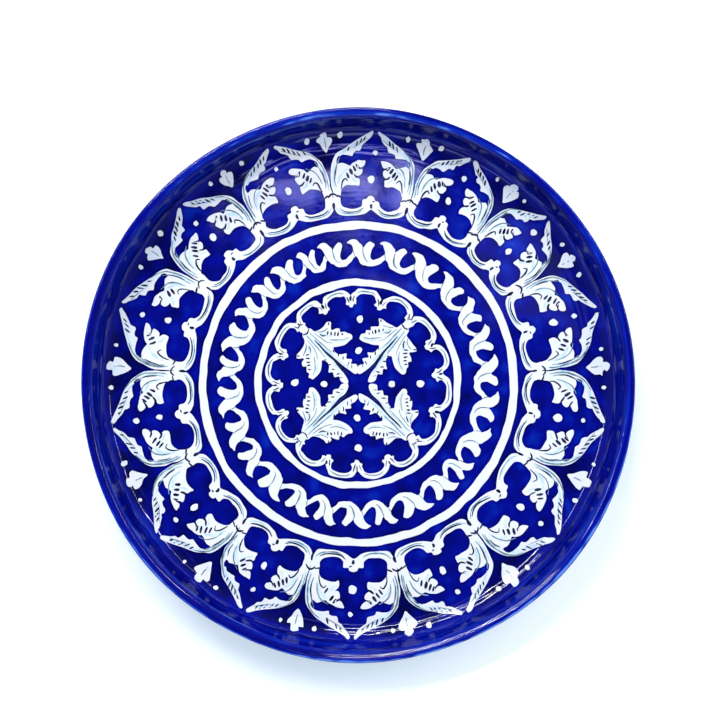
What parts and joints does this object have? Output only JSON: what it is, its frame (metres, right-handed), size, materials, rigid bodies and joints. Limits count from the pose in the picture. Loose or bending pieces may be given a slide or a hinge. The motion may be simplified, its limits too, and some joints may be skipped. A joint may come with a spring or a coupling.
{
  "type": "hand painted ceramic plate",
  "caption": "Round glazed plate with a flat floor, a low upright wall, a turned foot ring and a raised white floral pattern on cobalt blue.",
  "frame": {"origin": "centre of the face of the foot ring that the plate rests on", "axes": "+Z along the plate's axis, out of the painted side; +Y towards the top of the painted pattern"},
  "size_m": [0.3, 0.3, 0.038],
  "materials": {
    "clay": "fired red earthenware",
    "unglazed_foot": "bare fired earthenware, matt",
    "cobalt_glaze": "deep cobalt blue glaze, glossy, brushed",
    "white_enamel": "warm white glaze, glossy"
  },
  "bodies": {
    "root": {"clay_body": "clay", "dot_1": "white_enamel", "dot_2": "white_enamel", "dot_3": "white_enamel", "dot_4": "white_enamel", "dot_5": "white_enamel", "dot_6": "white_enamel", "dot_7": "white_enamel", "dot_8": "white_enamel", "foot_ring": "unglazed_foot", "glaze_back": "cobalt_glaze", "glaze_base": "cobalt_glaze", "glaze_front": "cobalt_glaze", "heart_01": "white_enamel", "heart_02": "white_enamel", "heart_03": "white_enamel", "heart_04": "white_enamel", "heart_05": "white_enamel", "heart_06": "white_enamel", "heart_07": "white_enamel", "heart_08": "white_enamel", "heart_09": "white_enamel", "heart_10": "white_enamel", "heart_11": "white_enamel", "heart_12": "white_enamel", "heart_13": "white_enamel", "heart_14": "white_enamel", "medallion_border": "white_enamel", "medallion_spray_1": "white_enamel", "medallion_spray_2": "white_enamel", "medallion_spray_3": "white_enamel", "medallion_spray_4": "white_enamel", "petal_01": "white_enamel", "petal_02": "white_enamel", "petal_03": "white_enamel", "petal_04": "white_enamel", "petal_05": "white_enamel", "petal_06": "white_enamel", "petal_07": "white_enamel", "petal_08": "white_enamel", "petal_09": "white_enamel", "petal_10": "white_enamel", "petal_11": "white_enamel", "petal_12": "white_enamel", "petal_13": "white_enamel", "petal_14": "white_enamel", "ribbon_band": "white_enamel", "ring_inner": "white_enamel", "ring_outer": "white_enamel"}
  },
  "joints": []
}
